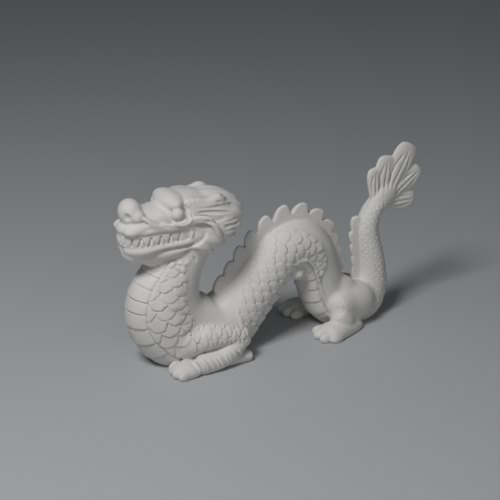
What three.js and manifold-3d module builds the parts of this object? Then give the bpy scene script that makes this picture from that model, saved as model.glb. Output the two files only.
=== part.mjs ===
// A long-bodied dragon figurine, cast in one piece of unglazed white ceramic.
// Millimetres, +Z up, head toward -X, tail toward +X, mirror plane Y = 0, standing on Z = 0.
// The body is one bent taper that rises from a U under the chest, over a hump, down to the
// rump and up into a tail that ends in a fan of five leaves.
import * as THREE from "three";
import { mergeVertices } from "three/addons/utils/BufferGeometryUtils.js";
import Module from "manifold-3d";

// ---- driving dimensions ----------------------------------------------------------------

// Centre line of the body: x, z, half depth (back to belly), half width (side to side).
const SPINE = [
  [-46, 118, 20, 19],
  [-54, 103, 22, 21],
  [-63, 87, 24.5, 22.5],
  [-71, 71, 28, 24],
  [-75.5, 56, 31, 25],
  [-75, 42, 33.5, 26],
  [-68, 30, 34, 26.5],
  [-55, 22, 33, 26.5],
  [-40, 19, 31, 26],
  [-26, 22, 27.5, 25],
  [-15, 30.5, 24.5, 23.5],
  [-5, 40.5, 23, 22],
  [4.5, 50.5, 22.3, 21.2],
  [14, 61.5, 21.7, 21.2],
  [23.5, 71.7, 21.3, 21],
  [35, 78, 21, 21],
  [47, 76.5, 21, 20.8],
  [56.5, 67, 20.5, 20],
  [62.5, 52, 19.5, 19.5],
  [67.5, 37, 20, 19.5],
  [75, 24, 21, 19.5],
  [87, 15, 21, 19],
  [101, 13, 20.5, 18],
  [111, 17.5, 18, 16],
  [116.5, 28, 15, 13.5],
  [117.5, 41, 12.5, 12],
  [116, 54, 11.2, 11],
  [113.5, 67, 10, 10],
  [112, 78, 9.3, 9.3],
  [114.5, 89, 8.6, 8.6],
  [121, 98.5, 7.8, 7.8],
  [128, 105, 7, 6],
];
const TRIANGLES = 9000;

const BODY_SIDES = 14;
const BODY_STEPS = 42;

// Back fin. Each run: start and end along the centre line, and lists of [share, value] for the
// tooth pitch on the back, the tooth height and the depth of the notch as a share of the height.
const FIN_RUNS = [
  {
    from: 150,
    to: 300,
    pitch: [[0, 14], [0.35, 15], [0.6, 14], [0.8, 12], [1, 11]],
    peak: [[0, 9], [0.15, 13], [0.45, 15], [0.62, 12], [0.75, 8], [1, 6.5]],
  },
  {
    from: 352,
    to: 410,
    pitch: [[0, 11], [1, 11.5]],
    peak: [[0, 7], [0.5, 9.5], [1, 8.5]],
  },
];
const FIN_THICKNESS = 6;
const FIN_ROOT = 5; // how far the fin reaches into the body
const FIN_NOTCH = 0.42;

// Leaves of the tail fan: foot x,z; tip x,z; width; thickness.
const LEAVES = [
  [117.5, 103, 117.8, 130.6, 14, 8],
  [126, 103, 129.5, 139.5, 16.5, 9],
  [131, 104, 154, 146.8, 20.5, 10],
  [133, 101, 165.5, 124, 15.5, 9],
  [128, 98, 160.5, 95.5, 15.5, 8.5],
];

const LEAF_ROOT = [[118, 0, 94, 9, 7.5], [127, 0, 103, 11, 6.5], [141, 0, 117, 9, 4]];

// Head.
const NOSE = [-105.3, 0, 133.3];
const NOSE_RADIUS = 8.5;
const NOSTRIL_WING = [-101.3, 8.5, 129];
const BROW = [-73, 13, 136.2];
const BROW_RADIUS = 7.6;
const EYE = [-73, 17.5, 129.8];
const EYE_RADIUS = 5;
const LIP_THICKNESS = 3.2;
const TOOTH_LENGTH = 9;
const TEETH_PER_SIDE = 7;
const UPPER_LIP = [
  [-114.5, 0, 117.5], [-108.5, 9, 115.3], [-101, 14.5, 115.3], [-91.5, 17.5, 118],
  [-76.6, 19.5, 118.5], [-64, 21, 116.5],
];
const LOWER_LIP = [
  [-111, 0, 105], [-105, 10, 104], [-97.5, 14.5, 105], [-87, 17, 107.3],
  [-74, 19.5, 108], [-62, 21.5, 111],
];
const JAW_EDGE = [
  [-110, 0, 100], [-104, 9, 97.5], [-95, 14, 98], [-84, 17, 101], [-70, 20, 102.5],
  [-57, 22, 107],
];
const WHISKER = [
  [-98, 14.5, 129.4], [-92.4, 17, 123.6], [-87, 18.5, 121], [-77, 20.5, 120], [-66.5, 23, 123],
  [-57, 25, 125], [-49.5, 26, 121.9], [-44, 26, 115.4], [-41, 25.5, 108.5],
];
const HORN = [
  [-66, 14, 135.5, 5], [-55, 17, 136.5, 5.2], [-45, 18, 135.5, 4.6], [-36, 17, 136, 3.6],
  [-28, 15, 138.5, 2.4],
];
// Mane locks of one side: root, tip, half depth at the root, half width.
const LOCKS = [
  [[-54, 4, 132], [-31, 4, 132.5], [-14.5, 4, 127.5], 8, 6.5],
  [[-50, 9, 128], [-28, 10, 128], [-11.5, 8, 122], 7.5, 7],
  [[-50, 14, 124], [-30, 15.5, 123], [-13, 12, 116], 7, 6.5],
  [[-50, 18, 119], [-32, 20, 117], [-18, 16.5, 110], 7, 5.5],
  [[-52, 20, 117], [-38, 22.5, 113.5], [-24.5, 20, 107.5], 6.5, 5],
  [[-55, 20, 112], [-44, 22.5, 107], [-33, 20.5, 101.5], 6.5, 5],
  [[-60, 19, 107], [-52, 21.5, 101.5], [-44, 20, 95.5], 6, 5],
];

// Limbs of one side (mirrored for the other): x, y, z, radius.
const UPPER_ARM = [
  [-64, 20, 24, 12.5], [-52, 24.5, 22.5, 11.5], [-38, 27, 20, 9.8], [-24, 28, 18, 8],
  [-14, 28, 15.5, 6],
];
const FOREARM = [
  [-12, 27, 12, 6], [-27, 31, 9.5, 7], [-46, 33, 7.5, 7.6], [-66, 33, 6, 8.6],
];
const SPUR = [[-50, 32, 3, 5.5], [-28, 31, 3, 5, 5.5], [-14, 29.5, 2.6, 4.6, 5]];
const FRONT_PAW = [-70, 31.5, 4.5, 14, 10, 7.5];
const FRONT_TOES = [
  [-80.5, 18.5, 3.8], [-83, 25, 3.9], [-83.4, 32, 4], [-80.5, 38.7, 3.9],
];
const TOE_RADII = [6.5, 4, 4.6];
const HAUNCH = [89, 16, 25, 17, 12.5, 16];
const KNEE = [64.7, 26.5, 26.5, 9.5];
const THIGH = [[92, 20, 26, 11], [78, 25, 30, 10], [65, 26.5, 27, 9.2]];
const SHIN = [[61, 26.5, 30, 8], [70, 28, 17, 8.5], [82, 28, -2, 8]];
const REAR_FOOT = [[94.5, 23, 3, 5], [84, 28, 4.5, 8, 7], [66, 31, 5.5, 8, 11], [45, 31, 3, 6, 12.5]];
const REAR_TOES = [
  [51.5, 17.5, 4], [49.6, 24.6, 4.2], [49.6, 32, 4.3], [51.8, 38.8, 4.2],
];
const REAR_TOE_RADII = [6.4, 4.2, 4.9];

// ---- small tools -----------------------------------------------------------------------

const wasm = await Module();
wasm.setup();

// A closed geometry as a solid, with its faces turned outward.
function solidOf(geometry) {
  const bare = geometry.clone();
  bare.deleteAttribute("normal");
  bare.deleteAttribute("uv");
  const merged = mergeVertices(bare, 1e-3);
  const source = merged.index.array;
  const kept = [];
  for (let i = 0; i < source.length; i += 3) {
    const [a, b, c] = [source[i], source[i + 1], source[i + 2]];
    if (a !== b && b !== c && c !== a) kept.push(a, b, c);
  }
  const make = (list) =>
    new wasm.Manifold(
      new wasm.Mesh({
        numProp: 3,
        vertProperties: merged.attributes.position.array,
        triVerts: new Uint32Array(list),
      }),
    );
  const solid = make(kept);
  if (solid.volume() > 0) return solid;
  const turned = [];
  for (let i = 0; i < kept.length; i += 3) turned.push(kept[i], kept[i + 2], kept[i + 1]);
  return make(turned);
}

function geometryOf(solid) {
  const mesh = solid.getMesh();
  const stride = mesh.numProp;
  const count = mesh.vertProperties.length / stride;
  const positions = new Float32Array(count * 3);
  for (let i = 0; i < count; i += 1) {
    for (let k = 0; k < 3; k += 1) positions[i * 3 + k] = mesh.vertProperties[i * stride + k];
  }
  const geometry = new THREE.BufferGeometry();
  geometry.setAttribute("position", new THREE.BufferAttribute(positions, 3));
  geometry.setIndex(new THREE.BufferAttribute(new Uint32Array(mesh.triVerts), 1));
  return geometry;
}

// Sum of squared distances from a point to the planes gathered in a 10-number quadric.
function quadricError(q, { x, y, z }) {
  return (
    q[0] * x * x + 2 * q[1] * x * y + 2 * q[2] * x * z + 2 * q[3] * x +
    q[4] * y * y + 2 * q[5] * y * z + 2 * q[6] * y +
    q[7] * z * z + 2 * q[8] * z + q[9]
  );
}

// Merges the edges whose loss changes the surface least, until `wanted` triangles are left.
// The mesh stays closed, no face turns over and points on the ground stay on the ground.
function thinned(source, wanted) {
  const position = source.attributes.position;
  const index = source.index.array;
  const points = [];
  for (let i = 0; i < position.count; i += 1) {
    points.push(new THREE.Vector3().fromBufferAttribute(position, i));
  }
  let faces = [];
  for (let i = 0; i < index.length; i += 3) faces.push([index[i], index[i + 1], index[i + 2]]);
  const normalOf = (a, b, c) => {
    const side = new THREE.Vector3().subVectors(points[b], points[a]);
    return side.cross(new THREE.Vector3().subVectors(points[c], points[a]));
  };
  const quadrics = points.map(() => new Array(10).fill(0));
  for (const [a, b, c] of faces) {
    const normal = normalOf(a, b, c);
    const area = normal.length();
    if (area < 1e-9) continue;
    normal.divideScalar(area);
    const { x, y, z } = normal;
    const d = -normal.dot(points[a]);
    const plane = [x * x, x * y, x * z, x * d, y * y, y * z, y * d, z * z, z * d, d * d];
    for (const v of [a, b, c]) plane.forEach((value, k) => (quadrics[v][k] += value * area));
  }
  for (let pass = 0; pass < 60 && faces.length > wanted; pass += 1) {
    const around = points.map(() => []);
    faces.forEach((face) => face.forEach((v) => around[v].push(face)));
    const ring = (v) => new Set(around[v].flat().filter((other) => other !== v));
    const edges = [];
    for (const face of faces) {
      for (let k = 0; k < 3; k += 1) {
        const a = face[k];
        const b = face[(k + 1) % 3];
        if (a > b) continue;
        const choices = [points[a], points[b], points[a].clone().lerp(points[b], 0.5)];
        const groundA = points[a].z < 1e-4;
        const groundB = points[b].z < 1e-4;
        const open = groundA === groundB ? choices : [groundA ? points[a] : points[b]];
        const total = quadrics[a].map((value, i) => value + quadrics[b][i]);
        const short = points[a].distanceToSquared(points[b]) * 1e-3;
        let best = null;
        for (const point of open) {
          const cost = quadricError(total, point) + short;
          if (!best || cost < best.cost) best = { cost, point: point.clone() };
        }
        edges.push({ a, b, total, ...best });
      }
    }
    edges.sort((one, two) => one.cost - two.cost);
    const touched = new Set();
    const gone = new Set();
    let left = faces.length;
    const most = Math.ceil(edges.length * 0.08) + 20;
    for (const { a, b, total, point } of edges.slice(0, most * 4)) {
      if (left <= wanted || faces.length - left > most) break;
      const ringA = ring(a);
      const ringB = ring(b);
      if (touched.has(a) || touched.has(b)) continue;
      if ([...ringA, ...ringB].some((v) => touched.has(v))) continue;
      if ([...ringA].filter((v) => ringB.has(v)).length !== 2) continue;
      const shared = around[a].filter((face) => face.includes(b));
      if (shared.length !== 2) continue;
      const moved = [...around[a], ...around[b]].filter((face) => !shared.includes(face));
      const before = moved.map((face) => normalOf(...face));
      const kept = [points[a].clone(), points[b].clone()];
      points[a].copy(point);
      points[b].copy(point);
      const turned = moved.some((face, i) => {
        const after = normalOf(...face);
        const size = after.length() * before[i].length();
        return after.length() < 1e-3 || after.dot(before[i]) < 0.35 * size;
      });
      if (turned) {
        points[a].copy(kept[0]);
        points[b].copy(kept[1]);
        continue;
      }
      for (const face of around[b]) face[face.indexOf(b)] = a;
      shared.forEach((face) => gone.add(face));
      quadrics[a] = total;
      [a, b, ...ringA, ...ringB].forEach((v) => touched.add(v));
      left -= 2;
    }
    if (gone.size === 0) break;
    faces = faces.filter((face) => !gone.has(face));
  }
  const numbers = new Map();
  const flat = [];
  const list = [];
  for (const v of faces.flat()) {
    if (!numbers.has(v)) {
      numbers.set(v, numbers.size);
      flat.push(points[v].x, points[v].y, points[v].z);
    }
    list.push(numbers.get(v));
  }
  const geometry = new THREE.BufferGeometry();
  geometry.setAttribute("position", new THREE.Float32BufferAttribute(flat, 3));
  geometry.setIndex(list);
  return geometry;
}

// Straight-line reading of a list of numbers at t from 0 to 1.
function along(values, t) {
  const place = Math.min(Math.max(t, 0), 1) * (values.length - 1);
  const low = Math.min(Math.floor(place), values.length - 2);
  return values[low] + (values[low + 1] - values[low]) * (place - low);
}

// Reading of a list of [position, value] pairs.
function ramp(pairs, t) {
  for (let i = 1; i < pairs.length; i += 1) {
    const [t0, v0] = pairs[i - 1];
    const [t1, v1] = pairs[i];
    if (t <= t1) return v0 + ((v1 - v0) * Math.max(t - t0, 0)) / (t1 - t0);
  }
  return pairs[pairs.length - 1][1];
}

// A round-ended taper bent along a curve. Each station is x, y, z, half depth, half width.
// The half width lies along `across`, the half depth at right angles to it and to the curve.
function taper(stations, { sides = 8, steps = 4, across = [0, 1, 0], ends = [1, 1] } = {}) {
  const points = stations.map((s) => new THREE.Vector3(s[0], s[1], s[2]));
  const curve = new THREE.CatmullRomCurve3(points, false, "centripetal");
  const depths = stations.map((s) => s[3]);
  const widths = stations.map((s) => s[4] ?? s[3]);
  const length = curve.getLength();
  const first = Math.min((ends[0] * depths[0]) / length, 0.35);
  const last = Math.min((ends[1] * depths[depths.length - 1]) / length, 0.35);
  const profile = [new THREE.Vector2(0, 0)];
  profile.push(new THREE.Vector2(Math.SQRT1_2, first * (1 - Math.SQRT1_2)));
  for (let i = 0; i <= steps; i += 1) {
    profile.push(new THREE.Vector2(1, first + ((1 - first - last) * i) / steps));
  }
  profile.push(new THREE.Vector2(Math.SQRT1_2, 1 - last * (1 - Math.SQRT1_2)));
  profile.push(new THREE.Vector2(0, 1));
  const geometry = new THREE.LatheGeometry(profile, sides);
  const position = geometry.attributes.position;
  const side = new THREE.Vector3(...across);
  const place = new THREE.Vector3();
  for (let i = 0; i < position.count; i += 1) {
    const t = Math.min(Math.max(position.getY(i), 0), 1);
    const forward = curve.getTangent(t);
    const out = new THREE.Vector3().crossVectors(forward, side).normalize();
    const wide = new THREE.Vector3().crossVectors(out, forward).normalize();
    curve.getPoint(t, place);
    place.addScaledVector(out, position.getX(i) * along(depths, t));
    place.addScaledVector(wide, position.getZ(i) * along(widths, t));
    position.setXYZ(i, place.x, place.y, place.z);
  }
  return solidOf(geometry);
}

// An ellipsoid.
function ball([x, y, z], [rx, ry, rz], around = 10, rings = 6) {
  const geometry = new THREE.SphereGeometry(1, around, rings);
  geometry.rotateX(Math.PI / 2);
  geometry.scale(rx, ry, rz);
  geometry.translate(x, y, z);
  return solidOf(geometry);
}

function box([x, y, z], [sx, sy, sz]) {
  const geometry = new THREE.BoxGeometry(sx, sy, sz);
  geometry.translate(x, y, z);
  return solidOf(geometry);
}

function joined(solids) {
  return solids.reduce((sum, one) => (sum ? sum.add(one) : one), null);
}

// The same list of stations on side s (-1 or 1) of the mirror plane.
const onSide = (stations, s) => stations.map(([x, y, z, ...rest]) => [x, s * y, z, ...rest]);
const mirrored = (make) => [make(-1), make(1)];

// ---- body ------------------------------------------------------------------------------

const spineStations = SPINE.map(([x, z, deep, wide]) => [x, 0, z, deep, wide]);
const spineCurve = new THREE.CatmullRomCurve3(
  spineStations.map((s) => new THREE.Vector3(s[0], s[1], s[2])),
  false,
  "centripetal",
);

const body = taper(spineStations, { sides: BODY_SIDES, steps: BODY_STEPS, ends: [0.4, 0.6] });

// Point, outward (back) direction and half depth at a distance along the centre line.
const SPINE_SAMPLES = 600;
const spineLengths = [0];
{
  let previous = spineCurve.getPoint(0);
  for (let i = 1; i <= SPINE_SAMPLES; i += 1) {
    const next = spineCurve.getPoint(i / SPINE_SAMPLES);
    spineLengths.push(spineLengths[i - 1] + next.distanceTo(previous));
    previous = next;
  }
}
function spineAt(distance) {
  let i = spineLengths.findIndex((length) => length >= distance);
  if (i < 1) i = i < 0 ? SPINE_SAMPLES : 1;
  const gap = spineLengths[i] - spineLengths[i - 1];
  const t = (i - 1 + Math.min(Math.max((distance - spineLengths[i - 1]) / gap, 0), 1)) / SPINE_SAMPLES;
  const point = spineCurve.getPoint(t);
  const forward = spineCurve.getTangent(t);
  const depth = along(SPINE.map((s) => s[2]), t);
  return { x: point.x, z: point.z, outX: -forward.z, outZ: forward.x, depth };
}

// One tooth of the fin, between two points of the back, thinner toward its edge.
function finTooth(first, second, peak) {
  const alongX = second[0] - first[0];
  const alongZ = second[1] - first[1];
  const pitch = Math.hypot(alongX, alongZ);
  const outX = -alongZ / pitch;
  const outZ = alongX / pitch;
  const notch = peak * FIN_NOTCH;
  const outline = [
    [-0.1, -FIN_ROOT], [-0.04, notch], [0.28, peak * 0.74], [0.56, peak * 0.96],
    [0.78, peak], [0.93, peak * 0.86], [1.04, notch * 0.9], [1.1, -FIN_ROOT],
  ];
  const shape = new THREE.Shape(
    outline.map(([share, height]) => new THREE.Vector2(share * pitch, height)),
  );
  const geometry = new THREE.ExtrudeGeometry(shape, { depth: 1, bevelEnabled: false });
  const position = geometry.attributes.position;
  for (let i = 0; i < position.count; i += 1) {
    const run = position.getX(i) / pitch;
    const height = position.getY(i);
    const half = (FIN_THICKNESS / 2) * (1 - 0.55 * Math.min(Math.max(height / peak, 0), 1));
    const x = first[0] + alongX * run + outX * height;
    const z = first[1] + alongZ * run + outZ * height;
    position.setXYZ(i, x, (0.5 - position.getZ(i)) * 2 * half, z);
  }
  return solidOf(geometry);
}

function finRun({ from, to, pitch, peak }) {
  const back = [];
  let length = 0;
  for (let distance = from; distance <= to; distance += 1) {
    const at = spineAt(distance);
    const point = [at.x + at.outX * at.depth, at.z + at.outZ * at.depth];
    const last = back[back.length - 1];
    if (last) length += Math.hypot(point[0] - last.point[0], point[1] - last.point[1]);
    back.push({ length, point });
  }
  const place = (wanted) => back.find((one) => one.length >= wanted)?.point;
  const teeth = [];
  let start = 0;
  for (;;) {
    const share = start / length;
    const step = ramp(pitch, share);
    const first = place(start);
    const second = place(start + step);
    if (!second) break;
    teeth.push(finTooth(first, second, ramp(peak, share)));
    start += step;
  }
  return joined(teeth);
}

// ---- tail fan --------------------------------------------------------------------------

function leaf([footX, footZ, tipX, tipZ, width, thickness]) {
  const at = (t) => [footX + (tipX - footX) * t, 0, footZ + (tipZ - footZ) * t];
  const half = width / 2;
  const thick = thickness / 2;
  return taper(
    [
      [...at(0), half * 0.6, thick * 0.9],
      [...at(0.3), half * 0.8, thick],
      [...at(0.55), half * 0.97, thick],
      [...at(0.75), half, thick * 0.9],
      [...at(0.9), half * 0.72, thick * 0.7],
      [...at(1), half * 0.3, thick * 0.4],
    ],
    { sides: 8, steps: 5 },
  );
}

// ---- head ------------------------------------------------------------------------------

// A point at share t along a list of x, y, z places.
function onPath(path, t) {
  const curve = new THREE.CatmullRomCurve3(path.map((p) => new THREE.Vector3(...p)));
  return curve.getPoint(t);
}

function ridge(path, radius, s, options = {}) {
  const stations = path.map((p, i) => {
    const end = i === 0 || i === path.length - 1;
    return [p[0], s * p[1], p[2], radius * (end && options.thin ? 0.55 : 1)];
  });
  return taper(stations, { sides: 6, steps: path.length, across: [0, 0, 1] });
}

function tooth(from, to, radius) {
  const length = from.distanceTo(to);
  const geometry = new THREE.CylinderGeometry(0.35, radius, length, 5);
  geometry.rotateX(Math.PI / 2);
  geometry.translate(0, 0, length / 2);
  const direction = new THREE.Vector3().subVectors(to, from).normalize();
  const turn = new THREE.Quaternion().setFromUnitVectors(new THREE.Vector3(0, 0, 1), direction);
  geometry.applyQuaternion(turn);
  geometry.translate(from.x, from.y, from.z);
  return solidOf(geometry);
}

function teeth(s) {
  const made = [];
  for (let i = 0; i < TEETH_PER_SIDE; i += 1) {
    const t = 0.06 + (0.84 * i) / (TEETH_PER_SIDE - 1);
    const upper = onPath(UPPER_LIP, t);
    const lowerUnder = onPath(LOWER_LIP, t);
    const upperTip = upper.clone().lerp(lowerUnder, TOOTH_LENGTH / upper.distanceTo(lowerUnder));
    const lower = onPath(LOWER_LIP, t + 0.5 * (0.84 / (TEETH_PER_SIDE - 1)));
    const upperOver = onPath(UPPER_LIP, t + 0.5 * (0.84 / (TEETH_PER_SIDE - 1)));
    const lowerTip = lower.clone().lerp(upperOver, TOOTH_LENGTH / lower.distanceTo(upperOver));
    for (const point of [upper, upperTip, lower, lowerTip]) point.y *= s;
    made.push(tooth(upper, upperTip, 3), tooth(lower, lowerTip, 3));
  }
  return made;
}

function head() {
  const made = [
    // skull, snout, bridge, palate block behind the teeth, lower jaw
    ball([-62, 0, 126], [27, 20, 18], 14, 8),
    ball([-41, 0, 122], [26, 20, 20], 12, 8),
    taper(
      [
        [-60, 0, 127, 13, 19], [-80, 0, 126, 10, 16.5], [-95, 0, 126, 9, 13.5],
        [-105, 0, 124.5, 7.5, 12],
      ],
      { sides: 12, steps: 4, ends: [0.8, 0.9] },
    ),
    ball([-104.5, 0, 120.5], [14, 16.5, 4.8], 14, 6),
    taper(
      [[-56, 0, 113, 8, 17], [-78, 0, 112, 8, 16], [-96, 0, 111, 8, 12.5], [-107, 0, 111, 7.5, 8]],
      { sides: 10, steps: 4 },
    ),
    taper(
      [[-50, 0, 106, 12, 19], [-75, 0, 103, 9.5, 17.5], [-94, 0, 100, 8, 13.5],
        [-107, 0, 100.5, 6, 8.5]],
      { sides: 12, steps: 4 },
    ),
    ball(NOSE, [NOSE_RADIUS, NOSE_RADIUS * 1.05, NOSE_RADIUS], 12, 8),
    ball([-86, 0, 133.5], [20, 6.5, 4.5]),
    ball([-63, 0, 140], [8, 7, 6.4]),
    ball([-46, 0, 139.5], [9, 7.5, 7]),
  ];
  for (const s of [-1, 1]) {
    made.push(
      ball([NOSTRIL_WING[0], s * NOSTRIL_WING[1], NOSTRIL_WING[2]], [6, 5.2, 6]),
      ball([BROW[0], s * BROW[1], BROW[2]], [BROW_RADIUS * 1.1, BROW_RADIUS * 0.85, BROW_RADIUS]),
      ball([-66, s * 13.5, 136], [10, 7, 5.5]),
      ball([EYE[0], s * EYE[1], EYE[2]], [EYE_RADIUS, EYE_RADIUS, EYE_RADIUS]),
      ball([-62, s * 18, 122], [13, 6, 9]),
      ridge(UPPER_LIP, LIP_THICKNESS, s),
      ridge(LOWER_LIP, LIP_THICKNESS * 0.9, s),
      ridge(JAW_EDGE, LIP_THICKNESS, s),
      ridge(WHISKER, 2.2, s, { thin: true }),
      taper(onSide(HORN, s), { sides: 7, steps: 5 }),
      ball([-61, s * 21, 136.5], [5.5, 2.4, 3.4], 8, 5),
      ...teeth(s),
      ...LOCKS.map(([root, middle, tip, deep, wide]) =>
        taper(
          [
            [root[0], s * root[1], root[2], deep, wide],
            [middle[0], s * middle[1], middle[2], deep * 0.95, wide * 0.95],
            [tip[0], s * tip[1], tip[2], deep * 0.45, wide * 0.5],
          ],
          { sides: 8, steps: 3 },
        ),
      ),
    );
  }
  return made;
}

// Nostrils, and the gap between upper and lower teeth at each corner of the mouth.
function headCuts() {
  return mirrored((s) => ball([-111.5, s * 6, 130], [4.5, 1.8, 2.6], 8, 6));
}

// ---- limbs -----------------------------------------------------------------------------

function frontLeg(s) {
  const [x, y, z, rx, ry, rz] = FRONT_PAW;
  return [
    taper(onSide(UPPER_ARM, s), { sides: 10, steps: 5 }),
    taper(onSide(FOREARM, s), { sides: 8, steps: 4 }),
    taper(onSide(SPUR, s), { sides: 7, steps: 2 }),
    ball([x, s * y, z], [rx, ry, rz], 12, 6),
    ...FRONT_TOES.map(([tx, ty, tz]) => ball([tx, s * ty, tz], TOE_RADII, 7, 5)),
  ];
}

function rearLeg(s) {
  const [x, y, z, rx, ry, rz] = HAUNCH;
  return [
    ball([x, s * y, z], [rx, ry, rz], 12, 7),
    taper(onSide(THIGH, s), { sides: 9, steps: 3 }),
    ball([KNEE[0], s * KNEE[1], KNEE[2]], [KNEE[3], KNEE[3], KNEE[3]], 11, 7),
    taper(onSide(SHIN, s), { sides: 8, steps: 2 }),
    taper(onSide(REAR_FOOT, s), { sides: 10, steps: 3 }),
    ...REAR_TOES.map(([tx, ty, tz]) => ball([tx, s * ty, tz], REAR_TOE_RADII, 7, 5)),
  ];
}

// ---- the cast piece --------------------------------------------------------------------

const cast = joined([
  body,
  ...FIN_RUNS.map(finRun),
  ...LEAVES.map(leaf),
  taper(LEAF_ROOT, { sides: 9, steps: 3 }),
  ...head(),
  ...mirrored(frontLeg).flat(),
  ...mirrored(rearLeg).flat(),
]);
const trimmed = joined([cast])
  .subtract(joined(headCuts()))
  .subtract(box([0, 0, -40], [600, 300, 80]));

const geometry = thinned(geometryOf(trimmed), TRIANGLES);
geometry.computeBoundingBox();
const { min, max } = geometry.boundingBox;
geometry.translate(-(min.x + max.x) / 2, 0, 0);

const dragon = new THREE.Mesh(
  geometry,
  new THREE.MeshStandardMaterial({ color: 0xd9d7d2, roughness: 0.85, metalness: 0 }),
);
dragon.name = "dragon";

const figurine = new THREE.Group();
figurine.add(dragon);

export default figurine;
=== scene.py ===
"""A long-bodied dragon figurine in unglazed white ceramic, cast as one piece.

The clay is built up as a modeller would: big masses first, blended into each other, then the
features of head, fin, feet and tail fan, then the eyes, and last the scales, belly plates,
teeth and tool strokes pressed into the surface.
"""

import math

import bmesh
import bpy
import numpy as np
from mathutils import Matrix, Vector


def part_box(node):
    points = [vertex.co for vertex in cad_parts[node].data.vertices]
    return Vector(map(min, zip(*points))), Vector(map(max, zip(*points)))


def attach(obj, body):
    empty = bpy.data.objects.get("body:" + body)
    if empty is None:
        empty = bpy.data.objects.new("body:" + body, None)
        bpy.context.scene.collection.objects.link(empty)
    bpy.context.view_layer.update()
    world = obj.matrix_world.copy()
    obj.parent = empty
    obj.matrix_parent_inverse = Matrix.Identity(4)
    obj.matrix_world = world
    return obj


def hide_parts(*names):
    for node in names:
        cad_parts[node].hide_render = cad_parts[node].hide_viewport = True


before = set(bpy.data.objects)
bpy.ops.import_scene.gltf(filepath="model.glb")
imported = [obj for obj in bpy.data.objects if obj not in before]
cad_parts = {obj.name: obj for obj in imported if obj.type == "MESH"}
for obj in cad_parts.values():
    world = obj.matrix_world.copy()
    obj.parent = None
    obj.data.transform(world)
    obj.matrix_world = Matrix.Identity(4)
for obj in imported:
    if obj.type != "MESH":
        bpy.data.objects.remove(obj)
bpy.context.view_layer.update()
LOW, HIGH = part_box("dragon")

# The modelling numbers below are millimetres on a dragon of the drawn length. X runs from nose
# to tail and starts a lip's reach behind the tip of the lip, Y is 0 down the middle, and Z is 0
# on the ground. MM turns them into metres at the frame's own size.
DRAWN_LENGTH = 284.4
LIP_REACH = 118.4
MM = (HIGH.x - LOW.x) / DRAWN_LENGTH
ORIGIN = Vector((LOW.x + LIP_REACH * MM, 0.0, LOW.z))

# Grain of the clay and rounds of rubbing at each of the four kneadings, coarse to fine.
BODY_GRAIN, BODY_RUBS = 1.1, 18
HEAD_GRAIN, HEAD_RUBS = 0.85, 7
FEATURE_GRAIN, FEATURE_RUBS = 0.7, 3
EYE_GRAIN, EYE_RUBS = 0.55, 2
# About how many triangles the finished skin keeps.
TRIANGLES = 195000

# How far the relief stands out of the skin.
SCALE_RELIEF = 1.15
TAIL_SCALE_RELIEF = 0.62
ARM_SCALE_RELIEF = 1.3
KNEE_SCALE_RELIEF = 0.55
PLATE_RELIEF = 1.5

# Centre line of the body: x, z, half depth (back to belly), half width (side to side).
SPINE = [
    (-46, 118, 20, 19), (-54, 103, 19.5, 20), (-63, 87, 20.2, 21), (-71, 71, 24, 23),
    (-76, 56, 30.4, 24.8), (-75.5, 42, 32.8, 25.8), (-68, 30, 33.2, 26.2), (-55, 22, 32.6, 26.4),
    (-40, 19, 31, 26), (-26, 22, 27.5, 25), (-15, 30.5, 24.5, 23.5), (-5, 40.5, 23, 22),
    (4.5, 50.5, 22.3, 21.2), (14, 61.5, 21.7, 21.2), (23.5, 71.7, 21.3, 21),
    (35, 78, 21, 21), (47, 76.5, 21, 20.8), (56.5, 67, 20.5, 20), (62.5, 52, 19.5, 19.5),
    (67.5, 37, 20, 19.5), (75, 24, 21, 19.5), (87, 15, 21, 19), (101, 13, 20.5, 18),
    (111, 17.5, 18, 16), (116.5, 28, 15, 13.5), (117.5, 41, 12.5, 12), (116, 54, 11.2, 11),
    (113.5, 67, 10, 10), (112, 78, 9.3, 9.3), (114.5, 89, 8.6, 8.6), (121, 98.5, 7.8, 7.8),
    (128, 105, 7, 6),
]


# ---- curves ----------------------------------------------------------------------------


def curve(stations, count):
    """Smooth line through stations, with their other columns read along it too."""
    points = np.asarray(stations, float)
    ends = np.vstack([2 * points[0] - points[1], points, 2 * points[-1] - points[-2]])
    u = np.linspace(0, len(points) - 1, count)
    i = np.minimum(u.astype(int), len(points) - 2)
    w = (u - i)[:, None]
    p0, p1, p2, p3 = (ends[i + k] for k in range(4))

    def gap(a, b):
        return np.maximum(np.linalg.norm(b[:, :3] - a[:, :3], axis=1), 1e-6)[:, None] ** 0.5

    d0, d1, d2 = gap(p0, p1), gap(p1, p2), gap(p2, p3)
    m1 = ((p1 - p0) / d0 - (p2 - p0) / (d0 + d1) + (p2 - p1) / d1) * d1
    m2 = ((p2 - p1) / d1 - (p3 - p1) / (d1 + d2) + (p3 - p2) / d2) * d1
    w2, w3 = w * w, w * w * w
    return (
        (2 * w3 - 3 * w2 + 1) * p1 + (w3 - 2 * w2 + w) * m1
        + (3 * w2 - 2 * w3) * p2 + (w3 - w2) * m2
    )


def frames(points, across):
    """Forward, outward and sideways directions at each point of a line."""
    forward = np.gradient(points[:, :3], axis=0)
    forward /= np.linalg.norm(forward, axis=1)[:, None]
    outward = np.cross(forward, across)
    outward /= np.linalg.norm(outward, axis=1)[:, None]
    return forward, outward, np.cross(outward, forward)


# ---- lumps of clay ---------------------------------------------------------------------


def coordinates(mesh):
    flat = np.empty(len(mesh.vertices) * 3)
    mesh.vertices.foreach_get("co", flat)
    return flat.reshape(-1, 3)


def set_coordinates(mesh, points):
    mesh.vertices.foreach_set("co", np.ascontiguousarray(points, float).ravel())
    mesh.update()


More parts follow.
